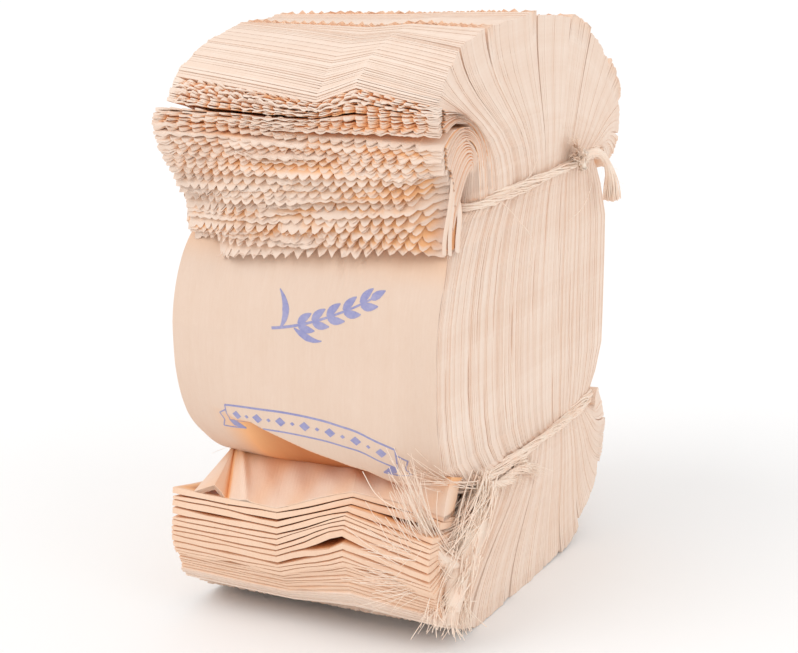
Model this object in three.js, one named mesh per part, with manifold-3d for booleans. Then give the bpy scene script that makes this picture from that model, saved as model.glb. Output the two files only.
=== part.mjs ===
// A bundle of about five hundred new flat paper bags, tied twice with sisal twine.
// Millimetres, +Z up. The bundle stands on its lower ends, the printed bag faces -Y,
// and the origin is the middle of the whole outline, on the surface it stands on.
//
// Between the two ties the flat bags lie face to face and belly out. Beyond each tie
// their ends fan out like a mushroom: saw-toothed mouths and folded bottoms by turns.
import * as THREE from 'three';
import { mergeVertices } from 'three/addons/utils/BufferGeometryUtils.js';
import Module from 'manifold-3d';

const wasm = await Module();
wasm.setup();

// ---- Driving dimensions of the bundle
const BAG_WIDTH = 95;          // across the bundle, along X
const LOW_TIE = 51;            // height of the lower tie
const HIGH_TIE = 144;          // height of the upper tie
const NECK = { front: -56, back: 52 };    // depth of the bundle where a tie pulls it in
const BELLY = { front: -81, back: 55 };   // depth half way between the ties
const ARM = 54;                // a bag's length beyond a tie
const FLOOR_CUT = 1.0;         // how much of the lowest ends is pressed flat

// ---- Where the ends of the layers lie, seen from the right: [depth, height], front layer first
const TOP_ENDS = [[-79.5, 127], [-80.5, 143], [-83, 159], [-82, 175], [-72, 188], [-50, 195.5],
  [-17, 197.5], [12, 195], [37, 186.5], [55, 172.5], [66, 157], [63, 145], [54, 138]];
const LOW_ENDS = [[-84, 49], [-86, 40], [-86, 29], [-82, 18], [-72, 7], [-56, 0.5], [-30, 0],
  [8, 0], [24, 3.5], [40, 9], [53, 20], [59, 34], [59, 46], [54, 55]];

// ---- Folds and slips of the fanned ends
const ZIGZAG = 6;              // depth of the folds that the gussets' edges press into the fan
const GUSSET_EDGE = 0.27;      // where those edges run, as a share of the half width
const DROOP = 50;              // degrees that the front mouths hang below straight out
const TIE_SQUEEZE = { sides: 1, corners: 3 };

// ---- Loose layers that show one by one
const TOOTH = { pitch: 4, depth: 2.6 };
const MOUTHS = { count: 10, reach: 3.6, step: 0.35, hanging: 0.5 };
const FRONT_MOUTHS_END = -0.5;
const BOTTOMS = { count: 11, reach: 3.4, step: 0.3, hanging: 0 };
const SLIPS = 3;               // rows of ends that show in one handful of bags
const FAN_ROOT = -0.1;         // the fan reaches this share of an arm into the belly

const BELLY_STEPS = { across: 4, along: 14 };
const FRONT_BAG = { fromStep: 1, toStep: 11, thick: 0.8, gap: 0.35 };  // in steps of the belly

// ---- Twine
const TWINE = { radius: 2.1, sunk: 1.2, sides: 6, steps: 46, gap: 0.3 };
const KNOT = { depth: 0.52, radius: 4.6 };  // on the right side, towards the back
const TIE_RISE = 2;            // a tie lies higher at the back
const FRAY = { depth: -0.88, fibres: 8, radius: 0.55, length: 50, radiusOfKnot: 3.4,
  shareInFront: 0.7, frontClear: -94 };

const HALF = BAG_WIDTH / 2;
const mix = (a, b, t) => a + (b - a) * t;
const clamp = (v, a = 0, b = 1) => Math.min(b, Math.max(a, v));
const smooth = (t) => { const c = clamp(t); return c * c * (3 - 2 * c); };

// A seeded draw, so that the small slips are the same every time
function seeded(seed) {
  let state = seed >>> 0;
  return () => {
    state = (state + 0x6d2b79f5) >>> 0;
    let t = Math.imul(state ^ (state >>> 15), state | 1);
    t ^= t + Math.imul(t ^ (t >>> 7), t | 61);
    return ((t ^ (t >>> 14)) >>> 0) / 4294967296;
  };
}

// Straight lines between [x, y] stops
function stops(list, x) {
  let i = 0;
  while (i < list.length - 2 && x > list[i + 1][0]) i += 1;
  const [x0, y0] = list[i];
  const [x1, y1] = list[i + 1];
  return mix(y0, y1, clamp((x - x0) / (x1 - x0)));
}

// ---- The field of sheets. A layer goes from -1, the front one, to 1, the back one,
// ---- and across goes from -1, the left edge of a bag, to 1.

// Where a layer passes a tie: the fanned front bags take only a thin share of the neck
function neckDepth(layer) {
  const share = stops([[-1, -1], [-0.62, -0.9], [-0.4, -0.66], [0.7, 0.78], [1, 1]], layer);
  return mix(NECK.front, NECK.back, (share + 1) / 2);
}

function tieSqueeze(layer) {
  return TIE_SQUEEZE.sides + TIE_SQUEEZE.corners * Math.abs(layer) ** 3;
}

const endCurves = {
  top: new THREE.SplineCurve(TOP_ENDS.map((p) => new THREE.Vector2(...p))),
  low: new THREE.SplineCurve(LOW_ENDS.map((p) => new THREE.Vector2(...p))),
};
for (const curve of Object.values(endCurves)) curve.arcLengthDivisions = 400;

// A bag's folded edges press a valley and a ridge into every fanned layer
function zigzag(end, across) {
  const g = GUSSET_EDGE;
  const shape = end === 'top'
    ? [[-1, 0], [-g, 1], [g, -0.1], [1, 0.25]]
    : [[-1, 0], [-g, -0.2], [g, 0.9], [1, 0]];
  return ZIGZAG * stops(shape, across);
}

// How far the mouths of the front layers hang down, from 0 to 1
const hang = (layer) => smooth((-layer - 0.5) / 0.45);

// A point of a fanned layer, from the tie, along = 0, to its free end, along = 1
function fanPoint(end, layer, along, across) {
  const sign = end === 'top' ? 1 : -1;
  const tie = end === 'top' ? HIGH_TIE : LOW_TIE;
  const t = clamp((layer + 1) / 2);
  const tip = endCurves[end].getPointAt(t);
  const before = endCurves[end].getPointAt(clamp(t - 0.015));
  const after = endCurves[end].getPointAt(clamp(t + 0.015));
  const tangent = after.sub(before).normalize();
  const aim = new THREE.Vector2(-tangent.y, tangent.x).multiplyScalar(sign);
  const front = smooth((-layer - 0.2) / 0.5);
  if (end === 'top') {
    aim.rotateAround(new THREE.Vector2(), THREE.MathUtils.degToRad(DROOP) * hang(layer));
  }
  const root = new THREE.Vector2(neckDepth(layer), tie);
  const reach = tip.distanceTo(root);
  const slack = Math.max(0, ARM - reach) * (layer < 0 ? 1.5 : 0.3);
  const pull = reach * 1.05 + slack;
  const start = pull * (end === 'top' && layer < 0 ? 1 : 0.55);
  const a = clamp(along);
  const h00 = 2 * a ** 3 - 3 * a ** 2 + 1;
  const h10 = a ** 3 - 2 * a ** 2 + a;
  const h01 = -2 * a ** 3 + 3 * a ** 2;
  const h11 = a ** 3 - a ** 2;
  let y = h00 * root.x + h01 * tip.x + h11 * pull * aim.x;
  let z = h00 * root.y + h10 * start * sign + h01 * tip.y + h11 * pull * aim.y;
  const fold = zigzag(end, across) * smooth(a) * (end === 'top' ? 1 - 0.85 * hang(layer) : 1);
  y -= tangent.x * fold;
  z -= tangent.y * fold;
  // The front bags slipped a little to the left, and hang lower there
  y += front * a * (end === 'top' ? 2.5 * across - 1 : 1.5 * across - 0.5);
  z += across * a * (end === 'top' ? 2.5 + 2 * front : 2 * front);
  // Past the free end a layer goes straight on, and below the tie the fan has its root
  y += aim.x * Math.max(0, along - 1) * ARM;
  z += aim.y * Math.max(0, along - 1) * ARM;
  z += Math.min(0, along) * ARM * sign;
  const x = across * (HALF - tieSqueeze(layer) * (1 - smooth(a * 2.2)));
  return new THREE.Vector3(x, y, z);
}

// A point of a layer between the ties, from the lower one, along = 0, to the upper one
function bellyPoint(layer, along, across) {
  const height = 2 * along - 1;
  const root = neckDepth(layer);
  const share = (root - NECK.front) / (NECK.back - NECK.front);
  const full = height < 0
    ? (1 - Math.abs(height) ** 3.4) ** 0.75
    : (1 - Math.abs(height) ** 2.6) ** 0.85;
  const slip = 2 * (across - 1) * Math.max(0, -layer) * Math.sin(Math.PI * along);
  const y = mix(root, mix(BELLY.front, BELLY.back, share), full) + slip;
  const waist = tieSqueeze(layer) * smooth((Math.abs(height) - 0.55) / 0.45);
  return new THREE.Vector3(across * (HALF - waist), y, mix(LOW_TIE, HIGH_TIE, along));
}

// ---- Solids
// A box whose points are moved by place(across, along, layer), each from -1 to 1
function bentBox(countAcross, countAlong, countLayers, place) {
  const box = new THREE.BoxGeometry(2, 2, 2, countAcross, countAlong, countLayers);
  const position = box.attributes.position;
  for (let i = 0; i < position.count; i += 1) {
    const p = place(position.getX(i), position.getY(i), -position.getZ(i));
    position.setXYZ(i, p.x, p.y, p.z);
  }
  return toSolid(box);
}

function tube(points, radius, sides, steps) {
  const section = new THREE.Shape();
  for (let i = 0; i < sides; i += 1) {
    const angle = (i / sides) * 2 * Math.PI;
    const corner = [radius * Math.cos(angle), radius * Math.sin(angle)];
    if (i === 0) section.moveTo(...corner);
    else section.lineTo(...corner);
  }
  const path = new THREE.CatmullRomCurve3(points);
  return toSolid(new THREE.ExtrudeGeometry(section, { steps, extrudePath: path, curveSegments: 1 }));
}

function toSolid(geometry) {
  const bare = geometry.clone();
  bare.deleteAttribute('normal');
  bare.deleteAttribute('uv');
  const merged = mergeVertices(bare, 1e-4);
  return new wasm.Manifold(new wasm.Mesh({
    numProp: 3,
    vertProperties: new Float32Array(merged.attributes.position.array),
    triVerts: new Uint32Array(merged.index.array),
  }));
}

function toMesh(name, solid, colour, roughness) {
  const out = solid.getMesh();
  const geometry = new THREE.BufferGeometry();
  geometry.setAttribute('position', new THREE.BufferAttribute(new Float32Array(out.vertProperties), 3));
  geometry.setIndex(new THREE.BufferAttribute(new Uint32Array(out.triVerts), 1));
  geometry.computeVertexNormals();
  const material = new THREE.MeshStandardMaterial({ color: colour, roughness, metalness: 0 });
  const mesh = new THREE.Mesh(geometry, material);
  mesh.name = name;
  return mesh;
}

const join = (solids) => solids.reduce((sum, solid) => sum.add(solid));

// Scraps that a cut leaves loose are dropped
function largest(solid) {
  return solid.decompose().reduce((best, body) => (body.volume() > best.volume() ? body : best));
}

// ---- The stack of bags
// Across a bag, the stops follow its folded edges, and where mouths show, its teeth
const CREASES = [-1, -0.62, -GUSSET_EDGE, 0, GUSSET_EDGE, 0.62, 1];
const TEETH = Math.round(BAG_WIDTH / TOOTH.pitch);
const TOOTH_STOPS = Array.from({ length: 2 * TEETH + 1 }, (_, i) => i / TEETH - 1);

// Bags are laid in handfuls, mouths up and bottoms up by turns: a handful ends higher or
// lower than the next, and a furrow runs between them down the sides
function handfuls(from, to, count, random) {
  const rows = [];
  for (let row = 0; row <= SLIPS * count; row += 1) {
    const furrow = row % SLIPS === 0 && row > 0;
    const lift = Math.floor(row / SLIPS) % 2 ? 0.9 : -0.3;
    rows.push({
      layer: mix(from, to, row / (SLIPS * count)),
      reach: lift + 0.9 * (random() - 0.5) - (furrow ? 1.6 : 0),
      inset: 0.7 * random() + (furrow ? 1.7 : 0),
    });
  }
  return rows;
}

// Loose layers that show one by one, like shingles: each stands out and steps back again
function shingles(from, to, rule, random) {
  const rows = [];
  for (let i = 0; i < rule.count; i += 1) {
    const layer = mix(from, to, i / rule.count);
    const reach = rule.reach * (0.7 + 0.6 * random()) * (1 + rule.hanging * hang(layer));
    const inset = 0.2 + 1.4 * random();
    rows.push({ layer, reach, inset, toothed: true });
    rows.push({ layer: mix(from, to, (i + rule.step) / rule.count), reach: 0, inset: inset + 0.3 });
  }
  return rows;
}

function fan(end, rows, acrossStops, alongCount) {
  const sign = end === 'top' ? 1 : -1;
  const toothed = acrossStops === TOOTH_STOPS;
  const half = (acrossStops.length - 1) / 2;
  return bentBox(2 * half, alongCount, rows.length - 1, (u, along, w) => {
    const i = Math.round((u + 1) * half);
    const row = rows[Math.round(((w + 1) / 2) * (rows.length - 1))];
    const a = mix(FAN_ROOT, 1, (sign * along + 1) / 2);
    const notch = toothed && row.toothed && i % 2 === 0 ? TOOTH.depth : 0;
    const tip = a > 0.99 ? (row.reach - notch) / ARM : 0;
    const p = fanPoint(end, row.layer, a + tip, acrossStops[i]);
    p.x -= acrossStops[i] * row.inset * smooth(a * 1.5);
    return p;
  });
}

function belly(random) {
  const rows = handfuls(-1, 1, 6, random);
  return bentBox(BELLY_STEPS.across, BELLY_STEPS.along, rows.length - 1, (across, along, w) => {
    const row = rows[Math.round(((w + 1) / 2) * (rows.length - 1))];
    const a = (along + 1) / 2;
    const p = bellyPoint(row.layer, a, across);
    p.x -= 0.5 * across * row.inset * Math.sin(Math.PI * a);
    return p;
  });
}

function bagStack() {
  const random = seeded(11);
  const mouths = shingles(-1, FRONT_MOUTHS_END, MOUTHS, random);
  mouths.push({ layer: FRONT_MOUTHS_END + 0.02, reach: 0, inset: 1.5 });
  const crown = handfuls(FRONT_MOUTHS_END, 1, 8, random);
  const bottoms = [...shingles(-1, -0.55, BOTTOMS, random), ...handfuls(-0.55, 1, 8, random)];
  return join([
    belly(random),
    fan('top', mouths, TOOTH_STOPS, 4),
    fan('top', crown, CREASES, 6),
    fan('low', bottoms, CREASES, 6),
  ]);
}

// The printed bag in front lies on the belly as one loose sheet, its mouth under the others
function frontBag() {
  const { fromStep, toStep } = FRONT_BAG;
  return bentBox(BELLY_STEPS.across, toStep - fromStep, 1, (across, along, side) => {
    const a = mix(fromStep, toStep, (along + 1) / 2) / BELLY_STEPS.along;
    const below = bellyPoint(-1, a - 0.01, across);
    const above = bellyPoint(-1, a + 0.01, across);
    const out = new THREE.Vector3(0, below.z - above.z, above.y - below.y).normalize();
    const lift = FRONT_BAG.gap + (side < 0 ? FRONT_BAG.thick : 0);
    return bellyPoint(-1, a, across).addScaledVector(out, lift);
  });
}

// ---- The ties
// A point on a tie: across and depth from -1 to 1, out from the pinched paper
function tiePoint(across, depth, height, out) {
  const layer = depth;
  const middle = (NECK.front + NECK.back) / 2;
  const reach = (NECK.back - NECK.front) / 2;
  const onSide = Math.abs(across) === 1;
  const x = across * (HALF - tieSqueeze(layer)) + (onSide ? across * out : 0);
  const y = middle + reach * depth + (onSide ? 0 : depth * out);
  return new THREE.Vector3(x, y, height);
}

// A point on a whole tie, which lies a little higher at the back
const onTie = (height) => (across, depth) => tiePoint(across, depth,
  height + TIE_RISE * smooth((depth + 1) / 2), TWINE.radius - TWINE.sunk);
const knotPlace = (height, knotDepth) => onTie(height)(1, knotDepth);

// The closed ring of a tie: a torus led round the neck
function tieRing(height, room) {
  const at = onTie(height);
  const round = [-0.92, -0.3, 0.3, 0.92]
    .flatMap((s) => [[s, 1], [s, -1], [1, s], [-1, s]])
    .sort((p, q) => Math.atan2(p[1], p[0]) - Math.atan2(q[1], q[0]));
  const path = new THREE.CatmullRomCurve3(round.map((stop) => at(...stop)), true);
  const frames = path.computeFrenetFrames(TWINE.steps, true);
  const wheel = 100;
  const torus = new THREE.TorusGeometry(wheel, TWINE.radius + room, TWINE.sides, TWINE.steps);
  const position = torus.attributes.position;
  for (let i = 0; i < position.count; i += 1) {
    const x = position.getX(i);
    const y = position.getY(i);
    const step = Math.round((Math.atan2(y, x) / (2 * Math.PI)) * TWINE.steps + TWINE.steps) % TWINE.steps;
    const p = path.getPointAt(step / TWINE.steps)
      .addScaledVector(frames.normals[step], Math.hypot(x, y) - wheel)
      .addScaledVector(frames.binormals[step], -position.getZ(i));
    position.setXYZ(i, p.x, p.y, p.z);
  }
  return toSolid(torus);
}

// A tapering or flaring end of twine along a few points
function strand(points, radiusAt, steps) {
  const path = new THREE.CatmullRomCurve3(points);
  const frames = path.computeFrenetFrames(steps, false);
  return bentBox(2, steps, 2, (across, along, layer) => {
    const t = (along + 1) / 2;
    const i = Math.round(t * steps);
    const long = Math.hypot(across, layer) || 1;
    const edge = Math.max(Math.abs(across), Math.abs(layer));
    const size = radiusAt(t) * edge / long;
    return path.getPointAt(t)
      .addScaledVector(frames.normals[i], across * size)
      .addScaledVector(frames.binormals[i], layer * size);
  });
}

const v = (x, y, z) => new THREE.Vector3(x, y, z);

// Each tie is made at its own size, and once more with room round it for its groove
function topTwine(room = 0) {
  const heart = knotPlace(HIGH_TIE, KNOT.depth).add(v(1.6, 0, 1));
  const ball = new THREE.SphereGeometry(KNOT.radius + room, 10, 7);
  ball.scale(0.8, 1.15, 1).translate(heart.x, heart.y, heart.z);
  const at = (x, y, z) => heart.clone().add(v(x, y, z));
  const tail = strand([at(0, 0, 0), at(3, 9, -1), at(5, 20, -9), at(4.5, 30, -20), at(3, 35, -28)],
    (t) => 1.7 + 3.2 * smooth((t - 0.45) / 0.55) + room, 8);
  const stub = strand([at(0, 0, 0), at(2, -7, 1.5), at(3.5, -13, 2)], (t) => 1.6 + 0.9 * t + room, 3);
  return join([tieRing(HIGH_TIE, room), toSolid(ball), tail, stub]);
}

// The lower tie was wound on with its ends at the front right corner, where they fray
function lowTwine(room = 0) {
  const corner = knotPlace(LOW_TIE, FRAY.depth).add(v(1.6, -1, 0));
  const at = (x, y, z) => corner.clone().add(v(x, y, z));
  const second = strand([corner, at(1.6, 14, -3), at(2.4, 30, -1), at(2, 42, -9)],
    (t) => 1.9 - 1.1 * t + room, 6);
  const ball = new THREE.SphereGeometry(FRAY.radiusOfKnot + room, 8, 6);
  ball.translate(corner.x, corner.y, corner.z);
  return join([tieRing(LOW_TIE, room), toSolid(ball), second]);
}

// The frayed fibres pass over the front corner and hang down clear of the folded bottoms,
// some in front of the bundle and some beside it
function frayedFibres() {
  const random = seeded(5);
  const corner = knotPlace(LOW_TIE, FRAY.depth).add(v(2.4, -2, 1));
  const fibres = [];
  for (let i = 0; i < FRAY.fibres; i += 1) {
    const t = i / (FRAY.fibres - 1);
    const inFront = t < FRAY.shareInFront;
    const long = FRAY.length * (0.7 + 0.3 * random());
    const aside = inFront ? mix(-0.55, -0.05, t / FRAY.shareInFront) : 0;
    const rise = v(corner.x + 1 + 2 * t, corner.y - 15 + 5 * t, LOW_TIE + 9 - 5 * t);
    const over = inFront
      ? v(corner.x - 2, FRAY.frontClear, LOW_TIE + 5 - 4 * t)
      : v(corner.x + 3, mix(-84, -62, t), LOW_TIE + 3);
    const fall = new THREE.Vector3(aside * long, inFront ? -1.5 : -0.25 * long, -0.45 * long);
    const away = over.clone().add(fall);
    const tip = away.clone().add(fall.multiplyScalar(0.8));
    tip.y = inFront ? FRAY.frontClear : tip.y;
    fibres.push(tube([corner, rise, over, away, tip], FRAY.radius, 3, 7));
  }
  return join(fibres);
}

// ---- Build
const paper = 0xecd2b4;
const sisal = 0xf1e3c4;

const ties = { top: topTwine(), low: lowTwine().add(frayedFibres()) };
const slab = new THREE.BoxGeometry(400, 400, 40).translate(0, 0, FLOOR_CUT - 20);
const stack = largest(bagStack()
  .subtract(topTwine(TWINE.gap))
  .subtract(lowTwine(TWINE.gap))
  .subtract(toSolid(slab)));

const bundle = new THREE.Group();
bundle.add(toMesh('bag_stack', stack, paper, 0.85));
bundle.add(toMesh('front_bag', frontBag(), paper, 0.8));
bundle.add(toMesh('top_twine', ties.top, sisal, 0.9));
bundle.add(toMesh('bottom_twine', ties.low, sisal, 0.9));

const outline = new THREE.Box3().setFromObject(bundle, true);
const middle = outline.getCenter(new THREE.Vector3());
bundle.position.set(-middle.x, -middle.y, -outline.min.z);

const group = new THREE.Group();
group.add(bundle);
export default group;
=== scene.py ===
# %% [markdown]
# # A tied bundle of flat paper bags
#
# New half-kilo paper bags leave the factory flat. Some five hundred of them are laid on
# each other in handfuls, mouths up and bottoms up by turns, and two ties of sisal twine
# pull the pile tight. Between the ties the pile bellies out. Beyond each tie the loose
# ends spring apart like a mushroom: saw-toothed mouths and folded bottoms.
#
# The looks therefore come from many thin sheets that never cross. They could be drawn
# on a block with a texture, but the fans have real steps, teeth and gaps with shadows
# between them, so here every bag is its own thin closed sheet, led through one field.

# %% Load the fixed frame
import math

import bmesh
import bpy
import numpy as np
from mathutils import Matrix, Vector


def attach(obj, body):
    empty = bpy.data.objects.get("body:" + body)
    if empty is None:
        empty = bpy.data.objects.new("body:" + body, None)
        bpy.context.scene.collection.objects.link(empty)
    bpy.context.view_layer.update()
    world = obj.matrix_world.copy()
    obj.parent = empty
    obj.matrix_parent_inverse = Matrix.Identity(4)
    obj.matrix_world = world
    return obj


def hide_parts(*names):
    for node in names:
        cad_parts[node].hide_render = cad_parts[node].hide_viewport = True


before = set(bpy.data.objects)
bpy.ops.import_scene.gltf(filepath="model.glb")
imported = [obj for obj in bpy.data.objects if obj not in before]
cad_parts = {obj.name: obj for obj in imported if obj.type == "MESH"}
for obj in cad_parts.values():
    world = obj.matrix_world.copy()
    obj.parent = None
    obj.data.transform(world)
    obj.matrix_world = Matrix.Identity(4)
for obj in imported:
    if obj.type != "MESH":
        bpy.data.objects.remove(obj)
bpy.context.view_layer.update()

# %% [markdown]
# ## Sizes of the bundle
#
# The lengths are the ones that the solids were made with, in millimetres, so that each
# sheet lies in the place that its solid holds. The middle of the bundle's outline was
# moved to the origin, so one last step moves every sheet by the same amount.

# %% Sizes, in millimetres
BAG_WIDTH = 95
HALF = BAG_WIDTH / 2
LOW_TIE, HIGH_TIE = 51, 144
BETWEEN_TIES = HIGH_TIE - LOW_TIE
NECK = (-56, 52)
BELLY = (-81, 55)
ARM = 54
TO_MIDDLE = np.array([-3.783, 14.623, -1.0])
TOP_ENDS = [(-79.5, 127), (-80.5, 143), (-83, 159), (-82, 175), (-72, 188), (-50, 195.5),
            (-17, 197.5), (12, 195), (37, 186.5), (55, 172.5), (66, 157), (63, 145), (54, 138)]
LOW_ENDS = [(-84, 49), (-86, 40), (-86, 29), (-82, 18), (-72, 7), (-56, 0.5), (-30, 0),
            (8, 0), (24, 3.5), (40, 9), (53, 20), (59, 34), (59, 46), (54, 55)]
DROOP = math.radians(60)    # how far the front mouths hang over
TEETH, TOOTH_DEPTH = 24, 2.7
FOOT = 1.5                  # what lies lower than this is pressed flat by the weight
PLY = 0.16                  # thickness of a single ply
print("a bag is", BAG_WIDTH, "mm wide, the ties are", BETWEEN_TIES, "mm apart")

# %% [markdown]
# A few small functions do the work that comes back in every step: soft steps and bells,
# splines, and the one move from the bundle's millimetres to the frame's metres.


# %% Small functions
def mix(a, b, t):
    return a + (b - a) * t


def smooth(t):
    t = np.clip(t, 0, 1)
    return t * t * (3 - 2 * t)


def past(x, start, length):
    """0 up to the start, 1 from one length later on, and a soft step between them."""
    return smooth((x - start) / length)


def stops(x, *pairs):
    """Straight lines between (x, y) stops."""
    return np.interp(x, [p[0] for p in pairs], [p[1] for p in pairs])


def bell(x, width):
    return np.exp(-(x / width) ** 2)


def off_sides(across, left, right):
    """0 at a bag's side edges and 1 from so many millimetres inwards."""
    return smooth((1 + across) * HALF / left) * smooth((1 - across) * HALF / right)


def settle(points):
    """From the bundle's own millimetres to the frame's metres; the foot is pressed flat."""
    points = points + TO_MIDDLE
    height = points[..., 2]
    pressed = FOOT * np.exp(np.minimum(0, height - FOOT) / FOOT)
    points[..., 2] = np.where(height < FOOT, pressed, height)
    return points / 1000


def unit(directions):
    return directions / np.linalg.norm(directions, axis=-1, keepdims=True)


def spline(before, here, there, after, t):
    """Catmull-Rom: the point at t from here to there, led by the points on either side."""
    return 0.5 * (2 * here + (there - before) * t
                  + (2 * before - 5 * here + 4 * there - after) * t ** 2
                  + (3 * here - before - 3 * there + after) * t ** 3)


def lengths(points):
    """How far each point lies along the line through all of them."""
    return np.r_[0, np.cumsum(np.linalg.norm(np.diff(points, axis=0), axis=1))]


def on_line(points, length, where):
    """The places that lie so far along a line."""
    return np.stack([np.interp(where, length, row) for row in points.T], -1)


print("a soft step at its quarters:", smooth(np.linspace(0, 1, 5)).round(2))

# %% [markdown]
# ## Where the ends of the bags lie
#
# Seen from the side, the ends of all bags follow one round outline above the upper tie
# and one below the lower tie. A spline through a few stops gives it, and a table of its
# length lets a bag ask for "the point at 30 % of the way" from the front bag to the back.


# %% The outline of the ends
def outline(points, count=400):
    """The spline through the points, as (share of the length, y, z)."""
    p = np.array(points, float)
    t = np.linspace(0, len(p) - 1, count + 1)
    i = np.floor(t).astype(int)
    near = [p[np.clip(i + k, 0, len(p) - 1)] for k in (-1, 0, 1, 2)]
    q = spline(*near, (t - i)[:, None])
    length = lengths(q)
    return length / length[-1], q[:, 0], q[:, 1]


TIPS = {"top": outline(TOP_ENDS), "low": outline(LOW_ENDS)}


def tip_at(end, t):
    share, y, z = TIPS[end]
    return np.interp(t, share, y), np.interp(t, share, z)


print("stops on the two outlines:", len(TOP_ENDS), len(LOW_ENDS))

# %% [markdown]
# ## The field of sheets
#
# A place in the pile has three numbers. The layer goes from -1, the front bag, to 1, the
# back one. Across goes from -1, a bag's left edge, to 1. Along goes from the lower free
# end over the ties to the upper one. Two functions turn them into a point: one for the
# belly between the ties and one for the fans beyond them. Neighbours never cross, because
# every layer is led by the same rule.


# %% The belly and the fans
GAP_LAYER, GAP_ACROSS = -0.835, 0.22    # where the lower fan's ridge is pressed open
CURL_AT = (-1, -0.93, -0.85, -0.7, -0.63, -0.6, -0.57)    # layers with stops of the left curl


def neck_depth(layer):
    """Depth at which a layer passes a tie. The loose front bags share a thin slice of it."""
    share = stops(layer, (-1, -1), (-0.62, -0.9), (-0.4, -0.66), (0.7, 0.78), (1, 1))
    return mix(NECK[0], NECK[1], (share + 1) / 2)


def squeeze(layer):
    """How far a tie presses a layer's side edges in."""
    return 1 + 3 * np.abs(layer) ** 3


def hang(layer):
    """How far the front mouths hang down, from 0 to 1."""
    return past(-layer, 0.5, 0.34)


def belly_point(layer, along, across):
    """A point between the ties: along is 0 at the lower one and 1 at the upper one."""
    height = np.clip(2 * along - 1, -1, 1)
    root = neck_depth(layer)
    share = (root - NECK[0]) / (NECK[1] - NECK[0])
    full = np.where(height < 0, (1 - np.abs(height) ** 3.4) ** 0.75,
                    (1 - np.abs(height) ** 2.6) ** 0.85)
    slip = 2 * (across - 1) * np.maximum(0, -layer) * np.sin(np.pi * np.clip(along, 0, 1))
    y = mix(root, mix(BELLY[0], BELLY[1], share), full) + slip
    # The left edge lies further back, most of all near the ties
    eased = stops(along, (0, 0), (0.1, 2.2), (0.22, 2.7), (0.4, 1.3), (0.55, 0.9), (0.8, 2.0), (1, 0))
    y = y + eased * past(-across, 0.3, 0.7) * smooth(-1.5 * layer)
    x = across * (HALF - squeeze(layer) * smooth((np.abs(height) - 0.55) / 0.45))
    return np.stack(np.broadcast_arrays(x, y, mix(LOW_TIE, HIGH_TIE, along)), -1)


def folds(end, across):
    """The valley and the ridge that the bags' folded edges press into a fan."""
    if end == "top":
        return stops(across, (-1, 0), (0.14, 3.6), (0.4, -2.6), (1, 1.2))
    return stops(across, (-1, 0), (-0.16, -1.4), (0.36, 5.4), (1, 0))


def crumple(layer, across):
    """A gap, pressed open in the ridge of the lower fan, with the sheets parted round it."""
    from_gap = layer - GAP_LAYER
    beside = bell(across - GAP_ACROSS, 0.12)
    return 1.5 * beside * np.sign(from_gap) * np.exp(-np.abs(from_gap) / 0.05)


def fan_point(end, layer, mid, along, across):
    """A point of a fan: from the tie, along = 0, to the free end, along = 1."""
    top = end == "top"
    sign = 1 if top else -1
    t = np.clip((layer + 1) / 2, 0, 1)
    tip_y, tip_z = tip_at(end, t)
    before, after = tip_at(end, t - 0.015), tip_at(end, t + 0.015)
    on_y, on_z = after[0] - before[0], after[1] - before[1]
    size = np.hypot(on_y, on_z)
    on_y, on_z = on_y / size, on_z / size
    aim_y, aim_z = -on_z * sign, on_y * sign
    front = past(-layer, 0.2, 0.5)
    if top:
        turn = DROOP * hang(layer)
        aim_y, aim_z = (aim_y * np.cos(turn) - aim_z * np.sin(turn),
                        aim_y * np.sin(turn) + aim_z * np.cos(turn))
    root_y, root_z = neck_depth(mid), HIGH_TIE if top else LOW_TIE
    reach = np.hypot(tip_y - root_y, tip_z - root_z)
    pull = reach * 1.05 + np.maximum(0, ARM - reach) * np.where(layer < 0, 1.5, 0.3)
    start = pull * (np.where(layer < 0, 1, 0.55) if top else 0.55)
    a = np.clip(along, 0, 1)
    h00, h10 = 2 * a ** 3 - 3 * a ** 2 + 1, a ** 3 - 2 * a ** 2 + a
    h01, h11 = 3 * a ** 2 - 2 * a ** 3, a ** 3 - a ** 2
    y = h00 * root_y + h01 * tip_y + h11 * pull * aim_y
    z = h00 * root_z + h10 * start * sign + h01 * tip_z + h11 * pull * aim_z
    pressed = (past(layer, -0.67, 0.12) if top else
               stops(layer, (-1, 0.9), (-0.86, 1.5), (-0.72, 1.1), (-0.5, 0.6)))
    fold = folds(end, across) * smooth(a) * pressed
    y = y - on_y * fold + front * a * ((2.5 * across - 1) if top else (1.5 * across - 0.5))
    z = z - on_z * fold + across * a * ((2.5 + 2 * front) if top else 2 * front)
    over = np.maximum(0, along - 1) * ARM
    x = across * (HALF - squeeze(mid) * (1 - smooth(a * 2.2)))
    if not top:
        z = z - crumple(layer, across) * smooth(a)
        # The right corners of the first folded bottoms are pushed back
        y = y + a * past(across, -0.2, 1.2) * stops(layer, (-1, 13), (-0.92, 0))
    if top:
        # The left corners of the hanging mouths curl back round the belly
        corner = past(-across, 0.45, 0.55) * a ** 2
        x = x + corner * np.interp(layer, CURL_AT, (6, 1.5, 1.5, -1, -2.5, -2, 0))
        y = y + corner * np.interp(layer, CURL_AT, (11, 8, 8, -0.5, -2.5, -2, 0))
        # Their right corners turn back as well, round to the tie
        turned = past(across, 0.74, 0.26) * a ** 2
        y = y + turned * stops(layer, (-1, 6), (-0.85, 6.5), (-0.7, 3), (-0.62, 0))
        x = x - turned * stops(layer, (-1, 1.2), (-0.85, 1.6), (-0.7, 0.6), (-0.62, 0))
    return np.stack(np.broadcast_arrays(x, y + aim_y * over, z + aim_z * over), -1)


print("the front sheet's belly reaches", belly_point(-1, 0.5, 0.0).round(1))

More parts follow.
